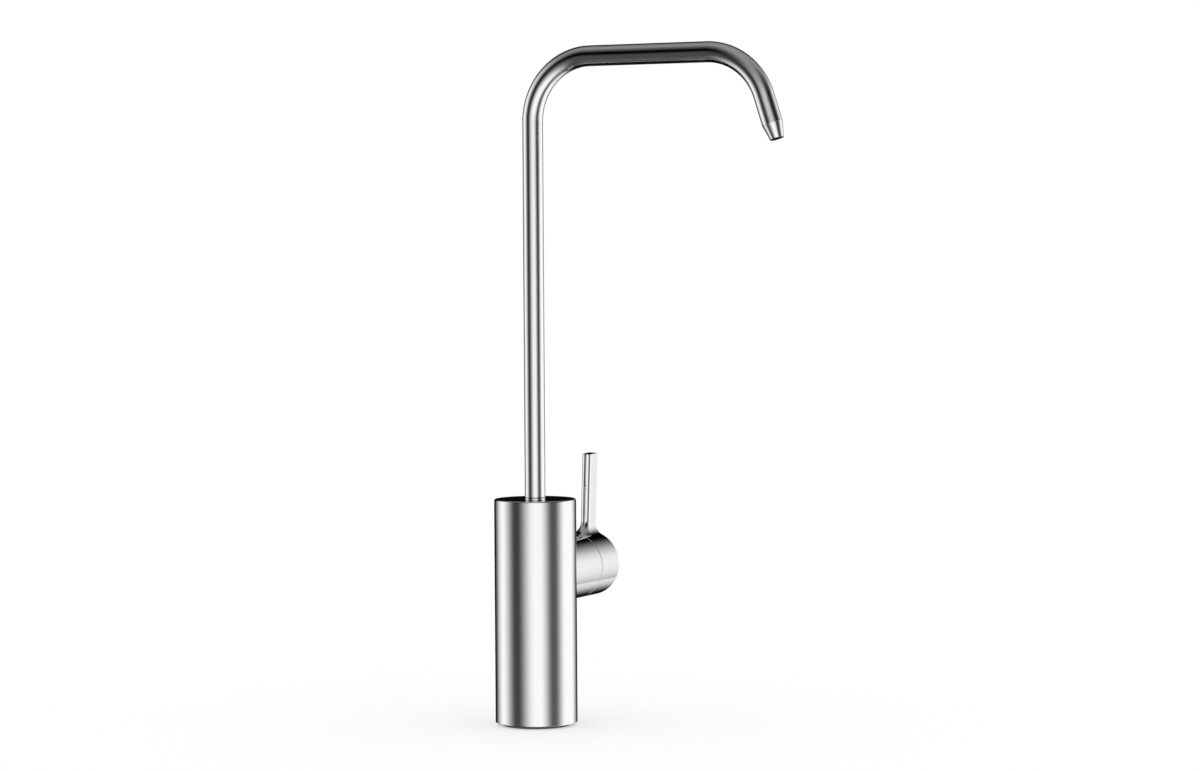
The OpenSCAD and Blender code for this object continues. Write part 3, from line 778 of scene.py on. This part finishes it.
def new_tree(name, inputs):
    tree = bpy.data.node_groups.new(name, "GeometryNodeTree")
    tree.interface.new_socket(name="Geometry", in_out="INPUT", socket_type="NodeSocketGeometry")
    for label, kind in inputs:
        tree.interface.new_socket(name=label, in_out="INPUT", socket_type=kind)
    tree.interface.new_socket(name="Geometry", in_out="OUTPUT", socket_type="NodeSocketGeometry")
    return tree, add_node(tree, "NodeGroupInput").outputs


def close_tree(tree, geometry, material):
    real = add_node(tree, "GeometryNodeRealizeInstances", {}, {"Geometry": geometry})
    painted = add_node(tree, "GeometryNodeSetMaterial", {}, {
        "Geometry": real.outputs["Geometry"], "Material": material})
    add_node(tree, "NodeGroupOutput", {}, {"Geometry": painted.outputs["Geometry"]})
    print("node tree", tree.name, "has", len(tree.nodes), "nodes")


def grow(name, points, edges, tree, values, wall=0.0):
    mesh = bpy.data.meshes.new(name)
    mesh.from_pydata(points, edges, [])
    carrier = new_object(name, mesh)
    nodes_modifier = carrier.modifiers.new("nodes", "NODES")
    nodes_modifier.node_group = tree
    for socket in tree.interface.items_tree:
        if socket.in_out == "INPUT" and socket.name in values:
            nodes_modifier[socket.identifier] = values[socket.name]
    if wall:
        thick = carrier.modifiers.new("wall", "SOLIDIFY")
        thick.thickness = wall
        thick.offset = -1
    evaluated = carrier.evaluated_get(bpy.context.evaluated_depsgraph_get())
    grown = bpy.data.meshes.new_from_object(evaluated)
    carrier.modifiers.clear()
    carrier.data = grown
    grown.shade_smooth()
    grown.set_sharp_from_angle(angle=SHARP_ANGLE)
    return carrier


# %% [markdown]
# The spout
#
# The gooseneck is one tube, bent twice on a former. The node tree bends it too: a line of four points is
# given its two bends by Fillet Curve, a circle is swept along it, and Solidify turns the skin into a tube
# wall. The numbers are inputs of the tree, so the bend or the tube can be changed without touching the
# tree.

# %% Spout
BEND_RADIUS = 31.0 * MM
LEVEL_RUN = 61.5 * MM
DROP_ANGLE = math.radians(72)
DROP_RUN = 13.7 * MM
TUBE_WALL = 0.8 * MM
BEND_STEPS = 72
TUBE_SIDES = 96
spout_low, spout_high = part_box("spout_tube")
tube_radius = spout_high.x
spout_level = spout_high.z - tube_radius
bend_corner = BEND_RADIUS * math.tan(DROP_ANGLE / 2)
down_the_drop = Vector((0, -math.cos(DROP_ANGLE), -math.sin(DROP_ANGLE)))
first_corner = Vector((0, 0, spout_level))
second_corner = Vector((0, -(BEND_RADIUS + LEVEL_RUN + bend_corner), spout_level))
tube_end = second_corner + down_the_drop * (bend_corner + DROP_RUN)


def swept_tube_tree():
    tree, given = new_tree("swept_tube", (
        ("Bend radius", "NodeSocketFloat"), ("Bend steps", "NodeSocketInt"),
        ("Tube radius", "NodeSocketFloat"), ("Sides", "NodeSocketInt"), ("Material", "NodeSocketMaterial")))
    line = add_node(tree, "GeometryNodeMeshToCurve", {}, {"Mesh": given["Geometry"]})
    bent = add_node(tree, "GeometryNodeFilletCurve", {"mode": "POLY"}, {
        "Curve": line.outputs["Curve"], "Count": given["Bend steps"], "Radius": given["Bend radius"]})
    ring = add_node(tree, "GeometryNodeCurvePrimitiveCircle", {}, {
        "Resolution": given["Sides"], "Radius": given["Tube radius"]})
    tube = add_node(tree, "GeometryNodeCurveToMesh", {}, {
        "Curve": bent.outputs["Curve"], "Profile Curve": ring.outputs["Curve"]})
    close_tree(tree, tube.outputs["Mesh"], given["Material"])
    return tree


spout = grow("polished_spout", [(0, 0, spout_low.z), first_corner, second_corner, tube_end],
             [(0, 1), (1, 2), (2, 3)], swept_tube_tree(),
             {"Bend radius": BEND_RADIUS, "Bend steps": BEND_STEPS, "Tube radius": tube_radius,
              "Sides": TUBE_SIDES, "Material": STEEL}, TUBE_WALL)
dress(spout, "spout", "polished_steel", "spout_tube")

# %% [markdown]
# The nozzle
#
# The outlet is a turned cone pushed into the end of the tube, with an O-ring groove that grips the wall
# and a pocket for the flow straightener. It is spun about the direction in which the tube drops. A thin
# black sleeve lines its bore and turns out over the cone's end in a small lip. Its black is painted shade:
# it makes the whole opening look as dark as the shade inside the bore.

# %% Nozzle
CONE_LENGTH = 7.6 * MM
TIP_RADIUS = 3.3 * MM
OUTLET_RADIUS = 2.7 * MM
GRIP_LENGTH = 9.0 * MM
GROOVE_DEPTH = 0.85 * MM
GROOVE_WIDTH = 1.1 * MM
GROOVE_AT = 3.0 * MM
POCKET_DEPTH = 2.8 * MM
NOZZLE_EDGE = 0.12 * MM
SLEEVE_WALL = 0.35 * MM
SLEEVE_LIP = 0.2 * MM
LIP_INSET = 0.12 * MM
cone_end = CONE_LENGTH - SLEEVE_LIP
pocket_floor = POCKET_DEPTH - GRIP_LENGTH
sideways = Vector((1, 0, 0))
nozzle_axes = Matrix((sideways, down_the_drop.cross(sideways), down_the_drop)).transposed().to_4x4()
nozzle_axes.translation = tube_end


def make_nozzle():
    skin = Skin()
    grip = tube_radius - TUBE_WALL - FIT
    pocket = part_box("flow_straightener")[1].x + FIT
    groove = grip - GROOVE_DEPTH
    groove_low = -GROOVE_AT - GROOVE_WIDTH / 2
    groove_high = -GROOVE_AT + GROOVE_WIDTH / 2
    cone_tip = TIP_RADIUS + (tube_radius - TIP_RADIUS) * SLEEVE_LIP / CONE_LENGTH
    spin(skin, (
        (pocket, -GRIP_LENGTH, 0), (grip, -GRIP_LENGTH, NOZZLE_EDGE), (grip, groove_low, 0),
        (groove, groove_low, 0), (groove, groove_high, 0), (grip, groove_high, 0),
        (grip, 0, 0), (tube_radius, 0, NOZZLE_EDGE), (cone_tip, cone_end, NOZZLE_EDGE),
        (OUTLET_RADIUS, cone_end, 0), (OUTLET_RADIUS, pocket_floor, 0), (pocket, pocket_floor, 0)),
        nozzle_axes)
    skin.piece("polished_nozzle", STEEL, "spout", "polished_steel", "nozzle")


# Painted shade: a black lining and lip that stand for the shade inside the outlet's opening
def make_painted_shade_sleeve():
    skin = Skin()
    outside = OUTLET_RADIUS - FIT
    inside = outside - SLEEVE_WALL
    inner_end = pocket_floor + FIT
    lip = TIP_RADIUS - LIP_INSET
    lip_start = cone_end + FIT
    spin(skin, (
        (inside, inner_end, 0), (outside, inner_end, 0), (outside, lip_start, 0), (lip, lip_start, 0),
        (lip, CONE_LENGTH, 0), (inside, CONE_LENGTH, 0)), nozzle_axes)
    skin.piece("painted_shade_outlet_sleeve", BLACK_ACETAL, "spout", "black_plastic")


make_nozzle()
make_painted_shade_sleeve()

# %% [markdown]
# The base
#
# Under the barrel sits a moulded rubber ring with soft edges, which shows as a dark line. The plug above
# it is die-cast, with a groove that holds the ring and a wide bore for the mounting shank. Both are
# turned shapes, so both are spun.

# %% Base ring and plug
GASKET_INNER = 11.5 * MM
GASKET_EDGE = 0.3 * MM
PLUG_EDGE = 0.3 * MM
NECK_RADIUS = 6.55 * MM
SHANK_BORE = 9.3 * MM
SHANK_DEPTH = 10.0 * MM
THREAD_DEPTH = 1.16 * MM
gasket_low, gasket_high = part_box("base_gasket")
plug_low, plug_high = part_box("base_plug")
thread_root = SHANK_BORE + THREAD_DEPTH


def make_base():
    ring = Skin()
    spin(ring, (
        (GASKET_INNER, gasket_low.z, GASKET_EDGE), (gasket_high.x, gasket_low.z, GASKET_EDGE),
        (gasket_high.x, gasket_high.z, GASKET_EDGE), (GASKET_INNER, gasket_high.z, GASKET_EDGE)))
    ring.piece("rubber_base_ring", GREY_RUBBER, "tap_body", "rubber", "base_gasket")
    plug = Skin()
    web = plug_low.z + SHANK_DEPTH
    groove_inner = GASKET_INNER - FIT
    groove_outer = gasket_high.x + FIT
    spin(plug, (
        (thread_root, plug_low.z, PLUG_EDGE), (groove_inner, plug_low.z, PLUG_EDGE),
        (groove_inner, gasket_high.z, 0), (groove_outer, gasket_high.z, 0),
        (groove_outer, plug_low.z, PLUG_EDGE), (plug_high.x, plug_low.z, PLUG_EDGE),
        (plug_high.x, plug_high.z, PLUG_EDGE), (NECK_RADIUS, plug_high.z, PLUG_EDGE),
        (NECK_RADIUS, web, 0), (thread_root, web, 0)))
    plug.piece("cast_base_plug", ZINC, "tap_body", "cast_zinc", "base_plug")


make_base()

# %% [markdown]
# The shank's thread
#
# The bore for the shank is threaded. A thread is a ridge along a helix, so the second node tree sweeps a
# triangle along a spiral. The spiral runs inside the bore's wall, and only the triangle's point stands
# out.

# %% Shank thread
THREAD_PITCH = 1.814 * MM
STEPS_PER_TURN = 96


def thread_tree():
    tree, given = new_tree("thread_ridge", (
        ("Root radius", "NodeSocketFloat"), ("Depth", "NodeSocketFloat"), ("Turns", "NodeSocketFloat"),
        ("Length", "NodeSocketFloat"), ("Start", "NodeSocketVector"), ("Material", "NodeSocketMaterial")))
    spiral = add_node(tree, "GeometryNodeCurveSpiral", {}, {
        "Resolution": STEPS_PER_TURN, "Rotations": given["Turns"], "Start Radius": given["Root radius"],
        "End Radius": given["Root radius"], "Height": given["Length"]})
    steady = add_node(tree, "GeometryNodeSetCurveNormal", {"mode": "Z_UP"}, {
        "Curve": spiral.outputs["Curve"]})
    triangle = add_node(tree, "GeometryNodeCurvePrimitiveCircle", {}, {
        "Resolution": 3, "Radius": given["Depth"]})
    ridge = add_node(tree, "GeometryNodeCurveToMesh", {}, {
        "Curve": steady.outputs["Curve"], "Profile Curve": triangle.outputs["Curve"], "Fill Caps": True})
    lifted = add_node(tree, "GeometryNodeTransform", {}, {
        "Geometry": ridge.outputs["Mesh"], "Translation": given["Start"]})
    close_tree(tree, lifted.outputs["Geometry"], given["Material"])
    return tree


thread_length = SHANK_DEPTH - THREAD_PITCH
thread = grow("shank_thread", [(0, 0, 0)], [], thread_tree(), {
    "Root radius": thread_root, "Depth": THREAD_DEPTH, "Turns": thread_length / THREAD_PITCH,
    "Length": thread_length, "Start": (0, 0, plug_low.z + THREAD_PITCH / 2), "Material": ZINC})
dress(thread, "tap_body", "cast_zinc")
thread_reach = [math.hypot(v.co.x, v.co.y) / MM for v in thread.data.vertices]
print("thread ridge reaches from", round(min(thread_reach), 2), "to", round(max(thread_reach), 2), "mm")

# %% [markdown]
# The pieces that keep their CAD shape
#
# Everything inside the valve and the spout's foot is already right in the CAD model, so those pieces only
# get their finish: each is painted with the material it is made of.

# %% Finishes of the CAD pieces
CAD_FINISHES = {
    STEEL: ("spout_socket",),
    DRAWN_STEEL: ("inlet_pipe", "outlet_pipe", "handle_screw"),
    BRASS: ("inlet_fitting", "spindle", "cartridge_nut", "spout_tail"),
    RUBBER: ("port_seals", "spindle_o_ring", "tail_o_rings", "nozzle_o_ring"),
    WHITE_ACETAL: ("port_plate", "cartridge_housing", "thrust_washer", "snap_ring", "flow_straightener"),
    BLACK_ACETAL: ("glide_ring", "swivel_washer"),
    GREY_ABS: ("handle_plug",),
    ALUMINA: ("fixed_disc", "moving_disc"),
}
for finish, names in CAD_FINISHES.items():
    for name in names:
        nodes[name].data.materials.clear()
        nodes[name].data.materials.append(finish)
    print(finish.name, "on", len(names), "CAD pieces")

# %% [markdown]
# The studio
#
# The tap stands in a white light tent: the world is plain white, which lights every colour about as it is
# written and is the white background too. The floor is a white disc that fades out towards its rim, so it
# keeps the soft shadow at the tap's foot and shows no edge. Its lower side is clear, so the tap can be
# seen from below as well.

# %% White tent and floor
FLOOR_RADIUS = 0.45
FLOOR_SIDES = 96
FADE_FROM = 0.15 * FLOOR_RADIUS
FADE_TO = 0.9 * FLOOR_RADIUS
LIT_SHARE = 0.5
world = bpy.data.worlds.new("white_tent")
bpy.context.scene.world = world
world.use_nodes = True
world.node_tree.nodes.clear()
tent = add_node(world.node_tree, "ShaderNodeBackground", {}, {"Color": linear("#FFFFFF"), "Strength": 1.0})
add_node(world.node_tree, "ShaderNodeOutputWorld", {}, {"Surface": tent.outputs["Background"]})
bpy.context.scene.view_settings.view_transform = "Standard"


def floor_finish():
    material, tree = new_finish("white_paper_floor")
    place = add_node(tree, "ShaderNodeTexCoord").outputs["Object"]
    distance = add_node(tree, "ShaderNodeVectorMath", {"operation": "LENGTH"}, {0: place})
    fade = add_node(tree, "ShaderNodeMapRange", {"interpolation_type": "SMOOTHSTEP"}, {
        "Value": distance.outputs["Value"], "From Min": FADE_FROM, "From Max": FADE_TO})
    paper = add_node(tree, "ShaderNodeBsdfDiffuse", {}, {"Color": linear("#FFFFFF")})
    lit = add_node(tree, "ShaderNodeEmission", {}, {"Color": linear("#FFFFFF"), "Strength": 1.0})
    bright = add_node(tree, "ShaderNodeMixShader", {}, {
        0: LIT_SHARE, 1: paper.outputs["BSDF"], 2: lit.outputs["Emission"]})
    clear = add_node(tree, "ShaderNodeBsdfTransparent")
    lower_side = add_node(tree, "ShaderNodeNewGeometry").outputs["Backfacing"]
    open_share = add_node(tree, "ShaderNodeMath", {"operation": "MAXIMUM"}, {
        0: fade.outputs["Result"], 1: lower_side})
    faded = add_node(tree, "ShaderNodeMixShader", {}, {
        0: open_share.outputs["Value"], 1: bright.outputs["Shader"], 2: clear.outputs["BSDF"]})
    add_node(tree, "ShaderNodeOutputMaterial", {}, {"Surface": faded.outputs["Shader"]})
    return material


def make_floor():
    turns = np.linspace(0, 2 * math.pi, FLOOR_SIDES + 1)[:-1]
    rim = [(FLOOR_RADIUS * math.cos(a), FLOOR_RADIUS * math.sin(a), 0) for a in turns]
    mesh = bpy.data.meshes.new("white_floor")
    mesh.from_pydata(rim, [], [tuple(range(len(rim)))])
    mesh.materials.append(floor_finish())
    floor = new_object("white_floor", mesh)
    floor.visible_glossy = False
    print("floor is", 2 * FLOOR_RADIUS, "m across")


make_floor()

# %% [markdown]
# Cards round the tap
#
# Polished metal in a white tent would be white all over, so a photographer stands cards around it, and
# the dark bands on the barrel are such cards. A card here is a piece of a sphere, given by four azimuths
# and four elevations in degrees: where it starts, where it is full, where it stops being full and where
# it ends. Azimuth 0 is the camera's side and 90 is the picture's right. A card's edges fade with its own
# UV map, which holds those degrees, and its shade may change between the horizon's two elevations.

# %% Card finish
HORIZON = (-14.0, 16.0)


def card_finish(name, azimuths, elevations, low_shade, high_shade):
    material, tree = new_finish(name)
    degrees = add_node(tree, "ShaderNodeUVMap").outputs["UV"]
    parts = add_node(tree, "ShaderNodeSeparateXYZ", {}, {"Vector": degrees})
    cover = 1.0
    for axis, (start, full, last, end) in (("X", azimuths), ("Y", elevations)):
        for outside, inside in ((start, full), (end, last)):
            if outside == inside:
                continue
            ramp = add_node(tree, "ShaderNodeMapRange", {"interpolation_type": "SMOOTHSTEP"}, {
                "Value": parts.outputs[axis], "From Min": outside, "From Max": inside})
            cover = add_node(tree, "ShaderNodeMath", {"operation": "MULTIPLY"}, {
                0: cover, 1: ramp.outputs["Result"]}).outputs["Value"]
    height = add_node(tree, "ShaderNodeMapRange", {"interpolation_type": "SMOOTHSTEP"}, {
        "Value": parts.outputs["Y"], "From Min": HORIZON[0], "From Max": HORIZON[1]})
    tone = add_node(tree, "ShaderNodeMix", {"data_type": "RGBA"}, {
        0: height.outputs["Result"], 6: linear(low_shade), 7: linear(high_shade)})
    shade = add_node(tree, "ShaderNodeEmission", {}, {"Color": tone.outputs[2], "Strength": 1.0})
    clear = add_node(tree, "ShaderNodeBsdfTransparent")
    mixed = add_node(tree, "ShaderNodeMixShader", {}, {
        0: cover, 1: clear.outputs["BSDF"], 2: shade.outputs["Emission"]})
    add_node(tree, "ShaderNodeOutputMaterial", {}, {"Surface": mixed.outputs["Shader"]})
    return material


print("cards change their shade between", *HORIZON, "degrees")

# %% [markdown]
# The cards stand eight metres away or a little more, so that every part of the tap mirrors them at nearly
# the same angle. They are seen in reflections only: they neither shade the tap nor stand in the picture.
# Where two overlap, the nearer one covers the other.

# %% Cards
CARD_MIDDLE = Vector((0, 0, 0.16))
CARD_COLUMNS = 60
CARD_ROWS = 30
ALL_ROUND = (-180, -180, 180, 180)


def make_card(name, distance, azimuths, elevations, low_shade, high_shade=None):
    points = []
    degrees = []
    for elevation in np.linspace(elevations[0], elevations[-1], CARD_ROWS + 1):
        for azimuth in np.linspace(azimuths[0], azimuths[-1], CARD_COLUMNS + 1):
            turn = math.radians(azimuth)
            rise = math.radians(elevation)
            level = math.sin(turn) * level_right - math.cos(turn) * level_ahead
            points.append(CARD_MIDDLE + distance * (math.cos(rise) * level + math.sin(rise) * world_up))
            degrees.append((azimuth, elevation))
    wide = CARD_COLUMNS + 1
    faces = [(j * wide + i, j * wide + i + 1, (j + 1) * wide + i + 1, (j + 1) * wide + i)
             for j in range(CARD_ROWS) for i in range(CARD_COLUMNS)]
    mesh = bpy.data.meshes.new(name)
    mesh.from_pydata(points, [], faces)
    spread = mesh.uv_layers.new(name="UVMap")
    for loop in mesh.loops:
        spread.data[loop.index].uv = degrees[loop.vertex_index]
    mesh.materials.append(card_finish(name, azimuths, elevations, low_shade, high_shade or low_shade))
    card = new_object(name, mesh)
    for ray in ("camera", "diffuse", "transmission", "volume_scatter", "shadow"):
        setattr(card, "visible_" + ray, False)
    print(name, "covers azimuths", azimuths[0], "to", azimuths[-1])


# Grey above and below, which tones every face that leans up or down
make_card("ceiling_card", 8.8, ALL_ROUND, (8, 44, 90, 90), "#8A8A8B")
make_card("front_ceiling_card", 8.7, (-65, -43, 66, 86), (-15, 53, 90, 90), "#8C8C8D")
make_card("table_card", 8.6, ALL_ROUND, (-90, -90, -89, -39), "#525253")
make_card("left_table_card", 8.5, (-172, -156, -100, -10), (-90, -90, -57, -20), "#4B4B4C")
# Black behind, which draws the dark outlines and the barrel's dark top
make_card("back_card", 8.4, (118, 160, 208, 258), (-88, -80, 35, 73), "#181819", "#030303")
make_card("left_back_card", 8.35, (-165, -150, -120, -100), (-70, -55, -30, -10), "#080808")
# Dark to the left and right, which make the two bands down the barrel
make_card("left_card", 8.3, (-107, -58, -51, -1), (-88, -80, 24, 81), "#474748", "#020202")
make_card("right_card", 8.2, (12, 49, 56, 93), (-88, -80, 5, 81), "#5D5D5E", "#131313")
make_card("right_high_card", 8.1, (5, 52, 64, 114), (-2, 18, 19, 68), "#1B1B1C")
# A pale board low behind on the right, which lights up the part of the dark card that it covers
make_card("floor_board", 8.0, (115, 136, 136, 172), (-75, -60, -24, -23.5), "#E8E8E9")
